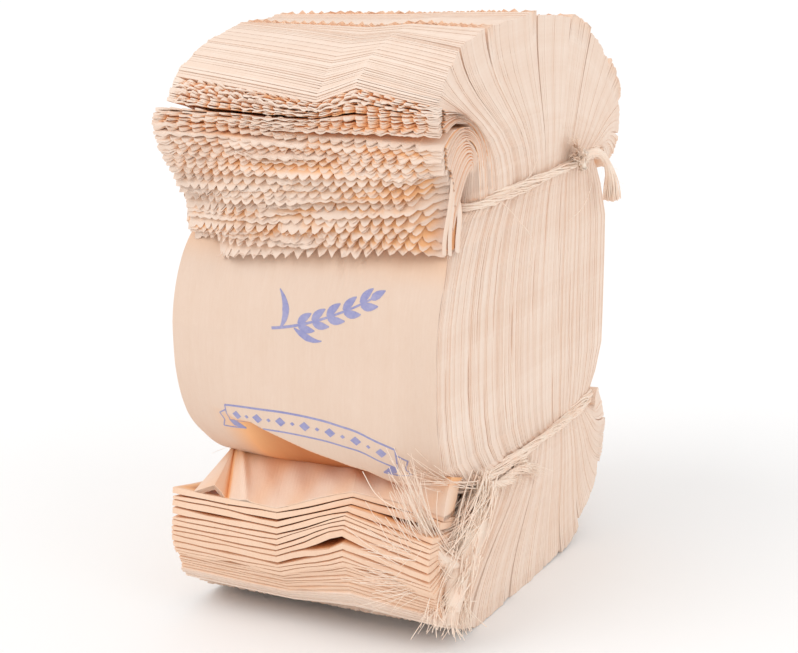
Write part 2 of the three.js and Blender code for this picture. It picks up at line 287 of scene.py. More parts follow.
# %% [markdown]
# ## The order of the bags
#
# The pile is laid in handfuls. For each handful the table says how many sheets stand for
# it, whether its mouths are at the top, and where it ends on the two outlines, at the
# left and at the right edge, because the fans open more on one side than on the other.
# Two handfuls of mouths stand off from the one before, which leaves a dark gap.
# Inside a handful the steps are a little uneven, drawn from a seeded generator.

# %% Handfuls, from front to back
HANDFULS = [
    # sheets, mouths up, then the layer where it ends: top left and right, low left and right
    (12, True, -0.78, -0.81, -0.78, -0.77),
    (8, True, -0.645, -0.725, -0.71, -0.655),
    (5, True, -0.597, -0.655, -0.69, -0.62),
    (6, True, -0.512, -0.61, -0.66, -0.58),
    (36, False, -0.19, -0.41, -0.55, -0.48),
    (16, False, -0.18, -0.27, -0.47, -0.435),
    (5, True, -0.15, -0.235, -0.42, -0.39),
    (18, False, -0.02, -0.0, -0.22, -0.175),
    (6, True, 0.03, 0.045, -0.16, -0.13),
    (20, False, 0.22, 0.285, 0.1, 0.145),
    (18, True, 0.42, 0.44, 0.27, 0.29),
    (20, False, 0.62, 0.63, 0.45, 0.455),
    (18, True, 0.78, 0.78, 0.7, 0.7),
    (14, False, 0.89, 0.89, 0.86, 0.86),
    (10, True, 1, 1, 1, 1),
]
MOUTH_GAPS = {2: (0.0, 0.026), 3: (0.008, 0.0)}    # handful: left and right gap before it
FREE_MOUTHS = 4          # the handfuls whose mouths hang open
LOOSE_BOTTOMS = 20       # the front bags whose bottoms lie apart
# How far each handful stands out at its two ends, which leaves steps in the outline
PROUD = {"top_reach": (0, 0, 0, 0, 0, 0, 0.9, -0.3, 0.9, -0.9, 1.5, -0.7, 2.2, -0.9, 1.4),
         "low_reach": (0, 0, 0, 0, -1.6, -1.2, -0.8, 0.7, -1.1, 1.5, -0.9, 1.6, -1.3, 1.1, -0.6)}
SIDES = ("top_left", "top_right", "low_left", "low_right")
draw = np.random.default_rng(11)


def uneven_steps(start, end, count, unevenness, second=1.0):
    """Steps from start to end. A second step that is longer takes most of the first one."""
    steps = 1 + unevenness * draw.uniform(-1, 1, count)
    steps[0] *= 0.1 if second > 1 else 1
    steps[1] *= second
    return start + (end - start) * np.cumsum(steps) / steps.sum()


def drifting(count, amount, length=9):
    """A random line that drifts slowly from sheet to sheet."""
    wander = np.convolve(draw.normal(0, 1, count + 4 * length), np.hanning(length), "same")
    return amount * wander[2 * length:2 * length + count] / np.sqrt((np.hanning(length) ** 2).sum())


def lay_bags():
    """One row for each bag, front to back."""
    rows = {name: [] for name in SIDES + ("mouth_up", "last", "slide", "mouth_slide", "tone", *PROUD)}
    ends = [-1.0, -1.0, -1.0, -1.0]
    for number, (count, mouth_up, *next_ends) in enumerate(HANDFULS):
        loose = {"top": 0.6 if number < 2 else 0.45, "low": (0.5, 0.4, 0.3, 0.2)[min(number, 3)]}
        gaps = MOUTH_GAPS.get(number, (0.001, 0.001) if number else (0, 0)) + (0, 0)
        for name, start, gap, end in zip(SIDES, ends, gaps, next_ends):
            second = 2.4 if name == "top_left" and number == 0 else 1.0
            rows[name] += list(uneven_steps(start + gap, end, count, loose[name[:3]], second))
        ends = next_ends
        rows["mouth_up"] += [mouth_up] * count
        rows["last"] += [0] * (count - 1) + [1]
        free = number < FREE_MOUTHS
        rows["slide"] += list(draw.normal(draw.uniform(-0.25, 0.25), 0.05, count))
        apart = 0.35 if number == 0 else 0.12
        rows["mouth_slide"] += list(draw.normal(draw.uniform(-0.2, 0.2), apart, count) * free)
        for name, proud in PROUD.items():
            rows[name] += list(draw.uniform(-0.4, 0.4) + drifting(count, 0.22, 5) + proud[number])
        rows["tone"] += list(np.clip(draw.normal(draw.uniform(-0.35, 0.35), 0.25, count), -1, 1))
    return {name: np.array(values, float) for name, values in rows.items()}


bags = lay_bags()
COUNT = len(bags["slide"])
# At a tie every bag is as thick as the next, so the layer there follows from the depth
depths = mix(NECK[0], NECK[1], (np.arange(COUNT) + 0.5) / COUNT)
all_layers = np.linspace(-1, 1, 801)
bags["mid"] = np.interp(depths, neck_depth(all_layers), all_layers)
bags["slide"] += drifting(COUNT, 0.22)
print(COUNT, "sheets stand for the bags,", int(bags["mouth_up"].sum()), "with their mouths up")

# %% [markdown]
# ## Cracks and grooves
#
# At the rim of a fan two handfuls part in a wedge, a dark crack a centimetre long, and
# the sheets beside it are pushed together for it. In the belly a few single bags lie
# deeper than their neighbours and leave short grooves in the side.


# %% Cracks between handfuls, grooves of single bags
def crack(widths):
    """For each sheet, how far the wedges at the handfuls' ends push it, in layers."""
    number = np.arange(COUNT)
    push = np.zeros(COUNT)
    ends = np.cumsum([count for count, *_ in HANDFULS])[:-1]
    for end, width in list(zip(ends, widths))[FREE_MOUTHS - 1:]:
        behind = number >= end
        away = np.where(behind, number - end, end - 1 - number)
        push += np.where(behind, 0.5, -0.5) * width * np.exp(-away / 4)
    return push


# The right side is the one that the photograph shows: thousandths of a layer
RIGHT_CRACKS = {"top": (0, 0, 0, 0, 5, 13, 2, 12, 3, 11, 3, 8, 4, 6),
                "low": (0, 0, 0, 0, 4, 11, 3, 13, 4, 12, 5, 10, 6, 4)}
GROOVED_SHARE = 0.09
for end, widths in RIGHT_CRACKS.items():
    bags[f"crack_{end}_left"] = crack(draw.uniform(0.002, 0.009, len(HANDFULS)))
    bags[f"crack_{end}_right"] = crack(np.array(widths) / 1000)
grooved = draw.uniform(size=COUNT) < GROOVED_SHARE
bags["groove"] = grooved * draw.uniform(0.4, 1.5, COUNT)
bags["groove_at"] = draw.uniform(0.08, 0.92, COUNT)
bags["groove_long"] = draw.uniform(0.05, 0.2, COUNT)
print("grooves:", int(grooved.sum()))

# %% [markdown]
# ## One sheet's surface
#
# The functions above know only layers. This one asks for a bag by its number and gives
# the point of its sheet: along runs from -1, the lower free end, over 0 and 1, the two
# ties, to 2, the upper free end. The sheet gets its back face along the surface's own
# normal. The room for it is measured to the next bag with and without the cracks, so a
# sheet neither crosses its neighbour nor swells into a crack.


# %% A bag's surface and thickness
def bag_values(number):
    number = np.clip(np.round(number), 0, COUNT - 1).astype(int)
    return {name: values[number] for name, values in bags.items()}


def bag_point(number, along, across, extra_reach=0.0, cracked=1.0):
    bag = bag_values(number)
    side = (np.clip(across, -1, 1) + 1) / 2
    fans = []
    for end, way, wedge in (("top", along - 1, 0.68), ("low", -along, 0.65)):
        way = np.clip(way, 0, 1.2)
        push = mix(bag[f"crack_{end}_left"], bag[f"crack_{end}_right"], side)
        push = push * smooth((way - wedge) / (1 - wedge))
        layer = mix(bag[end + "_left"], bag[end + "_right"], side) + cracked * push
        way = way + (bag[end + "_reach"] + extra_reach) * smooth(way * 1.4 - 0.4) / ARM
        fans += [way, fan_point(end, layer, bag["mid"], way, across)]
    up, top, down, low = fans
    middle = belly_point(bag["mid"], np.clip(along, 0, 1), across)
    along = along + np.zeros_like(top[..., 0])
    point = np.where(along[..., None] > 1, top, np.where(along[..., None] < 0, low, middle))
    point[..., 0] += bag["mouth_slide"] * smooth(up * 1.5)
    # The loose folded bottoms are a little crooked, each in its own way
    crooked = smooth(down) * (np.sin(5.1 * across + 2.7 * number) + np.sin(11.3 * across + 4.1 * number))
    point[..., 2] += 0.22 * crooked * (np.round(number) < LOOSE_BOTTOMS)
    groove = bag["groove"] * bell(along - bag["groove_at"], bag["groove_long"])
    point[..., 0] += bag["slide"] - np.sign(across) * groove * smooth((np.abs(across) - 0.5) * 2)
    return point


def bag_sheet(number, along, across, extra_reach=0.0):
    """A point of the sheet, the way to the bag behind it, and the room on that way."""
    here = bag_point(number, along, across, extra_reach)
    inner = np.clip(along, -0.97, 1.97)
    over = bag_point(number, inner, across + 0.01) - bag_point(number, inner, across - 0.01)
    up = bag_point(number, inner + 0.01, across) - bag_point(number, inner - 0.01, across)
    back = unit(np.cross(up, over))
    beside = number + np.where(bag_values(number)["last"] > 0, -1, 1)
    room = np.inf
    for cracked in (0.0, 1.0):
        step = (bag_point(beside, inner, across, 0.0, cracked)
                - bag_point(number, inner, across, 0.0, cracked))
        room = np.minimum(room, np.abs((step * back).sum(-1)))
    return here, back, room


print("bag 60 passes", bag_point(60, np.array([-1, 0, 0.5, 1, 2.0]), 0.0).round(1).tolist())

# %% [markdown]
# ## From one flat sheet to a pile
#
# A flat grid with a thickness is made once with Blender's own operators. A copy of it is
# bent for every bag by moving its points through the field, and all copies of a group are
# joined into one mesh. Each point keeps where it was on the flat sheet as a UV map in
# metres, so that the paper's grain can follow the bend, a tone of its own bag, and how
# far it lies in the shade between its neighbours, from 0 at the rim to 1 inside.


# %% Flat sheets and piles of them
def mesh_from(bm, name):
    mesh = bpy.data.meshes.new(name)
    bm.to_mesh(mesh)
    bm.free()
    return mesh


def put(name, data):
    """Adds an object at the origin."""
    thing = bpy.data.objects.new(name, data)
    bpy.context.scene.collection.objects.link(thing)
    return thing


def flat_sheet(across_stops, along_stops):
    """A closed flat sheet over the stops: x across, y along and z from 0 to 1 through it."""
    bm = bmesh.new()
    columns, rows = len(across_stops) - 1, len(along_stops) - 1
    bmesh.ops.create_grid(bm, x_segments=columns, y_segments=rows, size=1)
    bmesh.ops.solidify(bm, geom=bm.faces[:], thickness=1)
    for vert in bm.verts:
        i, j = round((vert.co.x + 1) / 2 * columns), round((vert.co.y + 1) / 2 * rows)
        vert.co = across_stops[i], along_stops[j], abs(round(vert.co.z))
    mesh = mesh_from(bm, "flat_sheet")
    flat = np.zeros(len(mesh.vertices) * 3)
    mesh.vertices.foreach_get("co", flat)
    return mesh, flat.reshape(-1, 3)


def pile(name, flat_mesh, flat, bent, tone, shaded, material=None, nodes=()):
    """Joins a bent copy of the flat mesh for every row of bent, which holds millimetres."""
    bm = bmesh.new()
    copy = flat_mesh.copy()
    for points in settle(bent):
        copy.vertices.foreach_set("co", points.astype(np.float32).ravel())
        bm.from_mesh(copy)
    bmesh.ops.recalc_face_normals(bm, faces=bm.faces[:])
    mesh = mesh_from(bm, name)
    count = len(bent)
    uv = np.tile(flat[:, :2] * np.array([HALF, 100]) / 1000, (count, 1))
    corner = np.zeros(len(mesh.loops), int)
    mesh.loops.foreach_get("vertex_index", corner)
    mesh.uv_layers.new(name="grain").data.foreach_set("uv", uv[corner].astype(np.float32).ravel())
    spread = {"tone": np.reshape(tone, (-1, 1)), "shaded": shaded}
    for label, values in spread.items():
        values = np.broadcast_to(values, (count, len(flat))).astype(np.float32)
        mesh.attributes.new(label, "FLOAT", "POINT").data.foreach_set("value", values.ravel())
    finish_piece(name, mesh, material or paper, nodes)


def finish_piece(name, mesh, material, nodes):
    """Makes the mesh a piece that rides on the one body; the solids named in nodes are hidden."""
    piece = put(name, mesh)
    mesh.materials.append(material)
    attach(piece, "root")
    if nodes:
        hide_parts(*nodes)
    triangles = sum(len(face.vertices) - 2 for face in mesh.polygons)
    print(f"{name}: {triangles} triangles")


print("a flat sheet of two fields has", len(flat_sheet([-1, 0, 1], [0, 1])[1]), "points")

# %% [markdown]
# ## Paper
#
# Machine-glazed kraft paper is pale and warm, with fibres that run along the web, faint
# clouds and a soft sheen. In the gaps it looks orange, because the light there has passed
# through several thin sheets. A render follows light for a few bounces only, so the
# points that lie between their neighbours get painted shade: warmer, and darker deepest in.
# Socket maths is written as plain expressions with a small class.


# %% A small language for shader nodes
class Wire:
    """A value in a material's tree that the usual operators work on."""

    def __init__(self, paint, socket):
        self.paint, self.socket = paint, socket

    def maths(self, operation, first, second):
        return self.paint.node("ShaderNodeMath", {"operation": operation}, {0: first, 1: second})

    def __add__(self, other):
        return self.maths("ADD", self, other)

    def __sub__(self, other):
        return self.maths("SUBTRACT", self, other)

    def __mul__(self, other):
        return self.maths("MULTIPLY", self, other)

    __radd__, __rmul__ = __add__, __mul__


class Paint:
    """A material whose nodes are added by one method."""

    def __init__(self, name, **constants):
        self.material = bpy.data.materials.new(name)
        self.material.use_nodes = True
        self.tree = self.material.node_tree
        self.shader = self.tree.nodes["Principled BSDF"]
        for socket, value in constants.items():
            self.shader.inputs[socket.replace("_", " ")].default_value = value

    def node(self, kind, settings=None, inputs=None, output=0):
        node = self.tree.nodes.new(kind)
        for name, value in (settings or {}).items():
            setattr(node, name, value)
        for name, value in (inputs or {}).items():
            self.feed(node.inputs[name], value)
        return Wire(self, node.outputs[output])

    def feed(self, socket, value):
        if isinstance(value, Wire):
            self.tree.links.new(value.socket, socket)
        else:
            socket.default_value = value

    def noise(self, place, scale, detail=3.0, roughness=0.55):
        return self.node("ShaderNodeTexNoise", {"noise_dimensions": "3D"},
                         {"Vector": place, "Scale": scale, "Detail": detail,
                          "Roughness": roughness}, "Fac")

    def place(self):
        return self.node("ShaderNodeTexCoord", output="Object")

    def attribute(self, name):
        return self.node("ShaderNodeAttribute", {"attribute_name": name}, output="Fac")

    def stretch(self, place, x, y, z):
        return self.node("ShaderNodeVectorMath", {"operation": "MULTIPLY"}, {0: place, 1: (x, y, z)})

    def blend(self, share, first, second):
        mixer = self.tree.nodes.new("ShaderNodeMix")
        mixer.data_type, mixer.clamp_factor = "RGBA", True
        self.feed(mixer.inputs[0], share)
        self.feed(mixer.inputs[6], first)
        self.feed(mixer.inputs[7], second)
        return Wire(self, mixer.outputs[2])

    def ramp(self, value, low, high):
        return self.node("ShaderNodeMapRange", {"clamp": True},
                         {"Value": value, "From Min": low, "From Max": high}, "Result")

    def bump(self, height, strength, distance):
        return self.node("ShaderNodeBump", {}, {"Height": height, "Strength": strength,
                                                "Distance": distance}, "Normal")

    def shade(self, **values):
        for socket, value in values.items():
            self.feed(self.shader.inputs[socket.replace("_", " ")], value)
        return self.material


def colour(red, green, blue):
    """A colour as a picture program shows it, turned into Blender's linear values."""
    def linear(c):
        c /= 255
        return c / 12.92 if c <= 0.04045 else ((c + 0.055) / 1.055) ** 2.4
    return (linear(red), linear(green), linear(blue), 1.0)


print("pale kraft in linear values:", [round(c, 3) for c in colour(234, 208, 182)])


# %% The paper itself
# Painted shade: a warm colour for the gaps between sheets and a darker brown for the deepest
PAINTED_SHADE_COLOUR = colour(244, 186, 134)
PAINTED_DEEP_SHADE_COLOUR = colour(200, 128, 80)


def kraft(name, light, deep):
    paint = Paint(name, Roughness=0.6, Specular_IOR_Level=0.2)
    uv = paint.node("ShaderNodeUVMap", {"uv_map": "grain"})
    place = paint.place()
    tone = paint.attribute("tone")
    shaded = paint.attribute("shaded")
    fibres = paint.noise(paint.stretch(uv, 1500, 130, 1), 1.0, 3)
    bands = paint.noise(paint.stretch(uv, 240, 14, 1), 1.0, 2)
    clouds = paint.noise(place, 55.0, 3)
    specks = paint.noise(paint.stretch(uv, 900, 420, 1), 1.0, 4, 0.7)
    amount = 0.3 * fibres + 0.25 * bands + 0.25 * clouds + 0.2 * specks + 0.14 * tone
    share = paint.ramp(amount, 0.3, 0.7)
    # Painted shade: where shaded rises the paper is painted warmer, and above 1 dark brown
    paper = paint.blend(shaded, paint.blend(share, deep, light), PAINTED_SHADE_COLOUR)
    paper = paint.blend(shaded - 1.0, paper, PAINTED_DEEP_SHADE_COLOUR)
    height = fibres + 0.8 * specks
    return paint.shade(Base_Color=paper, Roughness=0.52 + 0.16 * fibres,
                       Normal=paint.bump(height, 0.3, 0.0001))


# The pile's paper is painted paler than the front bag's, to make up for the shade in the grooves between
# its sheets
paper = kraft("kraft_paper", colour(246, 227, 212), colour(236, 209, 189))
print("materials:", [m.name for m in bpy.data.materials])

# %% [markdown]
# ## The bodies of the bags
#
# Every bag runs from its folded bottom over both ties to its mouth. The folded bottom is
# several layers thick and rounded, so the sheet swells there and closes in a round edge.
# The mouth end stops short here, because its saw teeth need a much finer sheet.

# %% Bags from end to end
CREASES = [-1, -0.97, -0.88, -0.72, -0.55, -0.4, -0.28, -0.16, -0.04, 0.06, 0.14, 0.25, 0.36,
           0.4, 0.55, 0.72, 0.88, 0.97, 1]
FAN_ROWS = [0.04, 0.12, 0.24, 0.38, 0.54, 0.7, 0.82, 0.9, 0.955, 0.985, 1]
BELLY_ROWS = [0, 0.04, 0.12, 0.24, 0.37, 0.5, 0.63, 0.76, 0.88, 0.96, 1]
MOUTH_FROM = 0.84      # where a toothed mouth takes over from the body, as a share of the arm
FREE_MOUTH_FROM = 0.02
SHADE_FROM, SHADE_DEPTH = 0.3, 4.0    # millimetres from the rim
LAP_LIFT, LAP_THICKNESS = 0.95, 0.25
FRONT_BAGS = sum(count for count, *_ in HANDFULS[:FREE_MOUTHS])

body_rows = [-a for a in reversed(FAN_ROWS)] + BELLY_ROWS + [1 + a for a in FAN_ROWS]
body_mesh, body_flat = flat_sheet(CREASES, body_rows)


def bag_bodies(name, first, last, nodes=()):
    number = np.arange(first, last)[:, None]
    across, along, depth = body_flat.T[:, None]
    mouth_up = bags["mouth_up"][first:last, None] > 0
    end = np.where(number < FRONT_BAGS, FREE_MOUTH_FROM, MOUTH_FROM)
    up, down = np.clip(along - 1, 0, 1), np.clip(-along, 0, 1)
    closing = ((0.955, 1), (0.985, 0.99), (1, 0.88))
    rounding = np.where(mouth_up, stops(down, *closing), stops(up, *closing))
    along = np.where(mouth_up & (along > 1), 1 + up * end, along)
    along = np.where(~mouth_up & (along < 0), -down * end, along)
    here, back, room = bag_sheet(number, along, across)
    swell = np.where(mouth_up, past(down, 0.7, 0.25), past(up, 0.7, 0.25))
    open_fan = (number < LOOSE_BOTTOMS) * smooth(down / 0.25)
    most = mix(3, mix(0.45, 2.2, swell), open_fan)
    thick = np.minimum(most, mix(0.99, mix(0.88, 0.85, swell), open_fan) * room)
    offset = thick * (0.5 + (depth - 0.5) * rounding)
    bent = here + back * offset[..., None]
    from_side = (1 - np.abs(across)) * HALF
    from_end = np.minimum(2 - along, along + 1) * ARM
    from_rim = np.minimum(from_side, np.where((along > 1) | (along < 0), from_end, HALF))
    shaded = np.clip((from_rim - SHADE_FROM) / SHADE_DEPTH, 0, 1) * (1 + 0.6 * open_fan)
    shaded = shaded + 0.36 * open_fan * past(down, 0.5, 0.4)
    shaded = shaded * (number < COUNT - 1)
    pile(name, body_mesh, body_flat, bent, bags["tone"][first:last], shaded, nodes=nodes)


edges = [0, 31, 85, 130, 176, COUNT]
names = ["front_bags", "middle_bags", "inner_bags", "back_bags", "last_bags"]
for name, first, last in zip(names, edges[:-1], edges[1:]):
    bag_bodies(name, first, last, ("bag_stack",) if name == "middle_bags" else ())

# %% [markdown]
# The last bag's back is the only one to be seen. A bag's web is closed to a tube by a
# glued lap along its back, so a narrow sheet lies on it from tie to tie.

# %% The back bag's glued lap
lap_mesh, lap_flat = flat_sheet(np.linspace(-0.06, 0.2, 9), np.linspace(0.012, 0.988, 60))
across, along, depth = lap_flat.T
here, back, _ = bag_sheet(np.full(1, COUNT - 1), along, across)
edge_wave = 0.12 * np.sin(22 * along) * smooth(across / 0.2)
bent = here + back * (LAP_LIFT + edge_wave + LAP_THICKNESS * depth)[..., None]
pile("glued_lap", lap_mesh, lap_flat, bent[None], [0.2], 0)

# %% [markdown]
# ## Saw-toothed mouths
#
# A bag machine cuts the web with a toothed blade, so every ply of a mouth ends in teeth
# four millimetres apart. The teeth curl a little, each in its own way. Where the mouths
# hang over the front they are the main thing to see, so both plies of each bag are made
# from the tie on, with four points across each tooth.


# %% Toothed plies
CORNER_RISE = 4.5
CROWN_SHADE = 0.42


def tooth_shape(across, shift, pointed):
    """1 at the tip of a tooth and 0 in the notch between two; the side edges stay plain."""
    share = ((across + 1) / 2 * TEETH + shift) % 1
    tooth = mix(np.sin(np.pi * share) ** 0.85, 1 - np.abs(2 * share - 1), pointed)
    return 1 - off_sides(across, 6, 9) * (1 - tooth)


def ragged(across, phases, waves=(2.3, 5.1, 9.7, 17.3)):
    """A smooth random line for each ply, about -1 to 1."""
    total = sum(np.sin(wave * across + phases[:, [k]] * 6.283) / (k + 1)
                for k, wave in enumerate(waves))
    return total / 1.6


def corner_rise(number, across):
    """The hanging mouths' right corners are drawn up: their reach changes by this."""
    rise = past(across, 0.7, 0.3) * stops(number, (0, -0.5), (2, 0), (4, 1), (10, 1), (13, 0))
    return -CORNER_RISE * rise


def toothed_plies(name, numbers, shares, end, start, columns_per_tooth, fill, loose=1.0):
    """Plies of the bags in numbers; shares says how far each is on the way to the next bag."""
    across_stops = np.linspace(-1, 1, TEETH * columns_per_tooth + 1)
    row_shares = [0, 0.3, 0.6, 0.85, 2, 3, 4] if start < 0.5 else [0, 0.6, 2, 3, 4]
    mesh, flat = flat_sheet(across_stops, row_shares)
    across, row, depth = flat.T[:, None]
    numbers = np.repeat(numbers, 2)[:, None]
    shares = np.ravel(shares)[:, None]
    plies = len(numbers)
    phases = draw.uniform(size=(plies, 8))
    free = start < 0.5
    in_middle = bell(across + 0.12, 0.3) * free
    crush = ragged(across, phases[:, 4:], (1.7, 4.1, 7.7, 3.1))
    torn = np.repeat(draw.uniform(-0.35, 0.3, plies // 2), 2)[:, None] * (numbers > 0)
    crush = smooth(1.1 * crush + 0.75 * in_middle - 0.25 + torn)
    inside = off_sides(across, 7, 9)
    edge = ragged(across, phases) * (0.8 + 0.5 * in_middle) * loose * inside
    shift = np.repeat(draw.integers(0, columns_per_tooth, plies // 2), 2)[:, None] / columns_per_tooth
    tooth = tooth_shape(across, shift, np.where(numbers < 1, 0.8, 0.2))
    own = draw.normal(0, 1, (plies, TEETH + 1))
    of_tooth = np.clip(((across + 1) / 2 * TEETH).astype(int), 0, TEETH)
    own = np.take_along_axis(own, np.broadcast_to(of_tooth, (plies, of_tooth.shape[1])), 1)
    deep = TOOTH_DEPTH * (stops(numbers, (0, 1), (2, 0.85), (8, 0.7)) if end == "top" else 0.5)
    crush = crush if free else 0.4 + 0.5 * crush
    cut = deep * (1 - 0.75 * crush) * (1 + 0.2 * own)
    tip = edge - cut * (1 - tooth)
    line = edge - cut - 0.5
    extra = np.select([row < 1.5, row < 2.5, row < 3.5], [0 * line, line, mix(line, tip, 0.55)], tip)
    raised = corner_rise(numbers, across) if free else 0
    up = np.where(row > 1, 1, mix(start, 0.96, np.clip(row, 0, 1)))
    here, back, room = bag_sheet(numbers, 1 + up if end == "top" else -up, across, extra + raised)
    thick = np.minimum(PLY, 0.4 * room) if fill is None else fill * room
    lift = np.clip(row - 2, 0, 2) / 2
    loose = loose * np.minimum(1, room / 1.5)
    bend = loose * (0.3 + 0.55 * own) * tooth * lift ** 1.5 * inside
    sway = stops(numbers, (0, 0.35), (3, 0.6), (12, 0.6), (16, 0.35)) if free else 0.35
    bend = bend + loose * sway * ragged(across, phases[:, 2:]) * smooth(np.clip(row, 0, 1) * 1.2)
    bend = bend + crush * lift * np.minimum(0.55, 0.4 * room) * np.sin(60 * across + phases[:, [5]] * 6)
    bent = here + back * (shares * room + bend + depth * thick)[..., None]
    rim = bag_point(numbers, 2.0 if end == "top" else -1.0, across)
    beside = np.linalg.norm(np.roll(rim, -2, 0) - rim, axis=-1)
    beside[-2:] = beside[-4:-2]
    from_rim = np.maximum(0, (1 - up) * ARM - extra * (row > 1.5))
    beside = np.clip(beside, 1, 9)
    shaded = 1.1 * smooth((from_rim - 0.35 * beside) / (0.8 * beside))
    from_sides = off_sides(across, 3, 7)
    crown = CROWN_SHADE * smooth(row / 3) if end == "top" and not free else 0
    shaded = np.maximum(shaded * from_sides, crown * (0.5 + 0.5 * from_sides))
    pile(name, mesh, flat, bent, bags["tone"][numbers[:, 0]], shaded)


print("a tooth from notch to notch:", tooth_shape(np.linspace(0, 2 / TEETH, 5), 0, 0.8).round(2))

# %% [markdown]
# A flat bag is folded in at its sides. Between two hanging bags that shows as a half
# tube along their side edges. The folds of the very first bags hang down as narrow
# strips beside the right ends of the rows, so they get sheets of their own.


# %% Side folds
def side_folds(name, numbers, side):
    """Half tubes from each bag's side edge to the next one's, from the tie to the mouth."""
    mesh, flat = flat_sheet(np.linspace(-1, 1, 8), np.linspace(0.02, 0.965, 14))
    turn, up, depth = flat.T[:, None]
    numbers = np.asarray(numbers)[:, None]
    edge = np.full_like(turn, float(side))
    near = bag_point(numbers, 1 + up, edge, corner_rise(numbers, edge))
    far = bag_point(numbers + 1, 1 + up, edge, corner_rise(numbers + 1, edge))
    wide = draw.uniform(0.7, 1.4, (len(numbers), 1))
    out = (0.15 + smooth(up)) * np.cos(turn * np.pi / 2) * wide
    bent = mix(near, far, ((turn * 0.96 + 1) / 2)[..., None])
    bent[..., 0] += side * (out - 0.14 * depth)
    shaded = np.abs(turn) ** 3 * 1.3 * np.ones_like(out)
    pile(name, mesh, flat, bent, bags["tone"][numbers[:, 0]], shaded)


FOLDS_OUT = 46.3
# Depth and height of each strip at the top and below, its width, how far out, and its
# painted shade; the third, wide strip lies behind the others, painted dark as shade
HANGING_FOLDS = [(-71.0, 159, -77.2, 133.6, 2.5, 0.8, 0.1), (-69.8, 158, -75.0, 133.2, 2.6, 1.2, 0),
                 (-69.6, 157, -74.6, 134.4, 7.2, 0.3, 1.5), (-67.6, 153, -69.6, 133.0, 3.3, 1.3, 0)]


def hanging_folds():
    """The narrow strips; they are widest below."""
    mesh, flat = flat_sheet(np.linspace(0, 1, 7), np.linspace(0, 1, 18))
    over, down, depth = flat.T[:, None]
    top_y, top_z, low_y, low_z, wide, out, shade = np.array(HANGING_FOLDS).T[:, :, None]
    narrow = mix(0.35, 1, smooth(down * 2.2))
    bow = 4 * over * (1 - over)
    ways = np.arange(len(HANGING_FOLDS))[:, None]
    x = FOLDS_OUT + out * smooth(down * 1.6) + 0.4 * bow + PLY * depth
    x = x + 0.2 * np.sin(5 * down + 2.1 * ways)
    y = mix(top_y, low_y, smooth(down * 1.1)) + over * wide * narrow
    z = mix(top_z, low_z, down) - 0.7 * bow * down
    shaded = shade + 0.7 * over ** 3 + 0 * z
    pile("hanging_folds", mesh, flat, np.stack([x, y, z], -1), [0.4, 0.2, -0.2, 0.5], shaded)


inside_handfuls = np.setdiff1d(np.arange(FRONT_BAGS - 1), np.flatnonzero(bags["last"]))
side_folds("right_side_folds", inside_handfuls, 1)
side_folds("left_side_folds", inside_handfuls, -1)
hanging_folds()

# %% [markdown]
# The hanging mouths stand well apart, so their two plies lie close together. In the crowded
# rows the plies of all bags share the room evenly, and behind them only the ends show.


# %% Five groups of mouths
def ply_pairs(count, low, high):
    """For each bag how far its front ply and its back ply are on the way to the next bag."""
    return np.stack([np.zeros(count), draw.uniform(low, high, count)], 1)


numbers = np.arange(COUNT)
hanging, crowded = np.split(numbers[:FRONT_BAGS], HANDFULS[0][:1])
toothed_plies("hanging_mouths", hanging, ply_pairs(len(hanging), 0.1, 0.2), "top", 0.0, 4, None)
toothed_plies("crowded_mouths", crowded, ply_pairs(len(crowded), 0.49, 0.52), "top", 0.0, 4, 0.47,
              loose=0.9)
top_mouths = numbers[(bags["mouth_up"] > 0) & (numbers >= FRONT_BAGS)]
low_mouths = numbers[bags["mouth_up"] == 0]
halves = np.array_split(low_mouths, 2)
for name, those, end in (("crown_mouths", top_mouths, "top"), ("foot_mouths", halves[0], "low"),
                         ("back_foot_mouths", halves[1], "low")):
    toothed_plies(name, those, np.tile([0.0, 0.5], (len(those), 1)), end, MOUTH_FROM, 2, 0.48,
                  loose=0.9 if end == "top" else 0.3)

# %% [markdown]
# ## The front bag
#
# The front of the first bag is the one large plain face, so it gets a finer sheet of its
# own. It lies loosely on the pile: its lower part laps over to the right like a lip, and
# at the lower left it falls back and leaves a dent under the lip, darkened by real and
# painted shade. Long shallow waves run down from the mouths above. All of the shape is
# small shifts along the sheet's own normal, and a painted shadow lies below the hanging teeth.


# %% The printed bag's front
def lip_edge(across):
    """Where along the bag the lip ends."""
    return stops(across, (-0.75, 0.235), (-0.53, 0.205), (-0.38, 0.212), (-0.21, 0.188),
                 (0.03, 0.152), (0.21, 0.128), (0.42, 0.098), (0.8, 0.05), (1, 0.02))


def front_shift(along, across):
    """How far the front bag stands out from the pile, in millimetres."""
    lip = smooth((along - lip_edge(across)) / 0.035) * (1 - 0.75 * past(along, 0.16, 0.45))
    lip = lip * past(across, -0.75, 0.55)
    below = (1 - smooth((along - lip_edge(across)) / 0.05)) * past(across, -0.6, 0.5)
    waves = (0.30 * np.sin(9.0 * across + 5 * along) * (1 - smooth(along * 1.5))
             + 0.26 * np.sin(17 * across - 4 * along + 1) * past(along, 0.5, 0.4)
             + 0.18 * np.sin(31 * across + 9 * along) * past(along, 0.6, 0.3)
             + 0.25 * np.sin(3.1 * across + 6.5 * along + 2)
             + 0.20 * np.sin(23 * across + 3 * along) * past(across, 0.1, 0.4))
    crease = bell(across - 0.28 + 0.5 * (along - 0.8), 0.03) * past(along, 0.7, 0.1)
    pinch = bell(across - 0.42 + 0.8 * (along - 0.8), 0.02) * past(along, 0.74, 0.08)
    inward = smooth((1 - across) / 0.3) * smooth((1 + across) / 0.25)
    waves = waves * smooth(along / 0.08) - 0.6 * crease + 0.4 * pinch
    shift = 0.25 + inward * (0.6 + 4.6 * lip - 0.45 * below * smooth(along / 0.05) + waves)
    return np.maximum(shift, 0.15)


def on_front(along, across, lift=0.0):
    here, back, _ = bag_sheet(np.zeros(1, int), along, across)
    return here - back * (front_shift(along, across) + lift)[..., None]


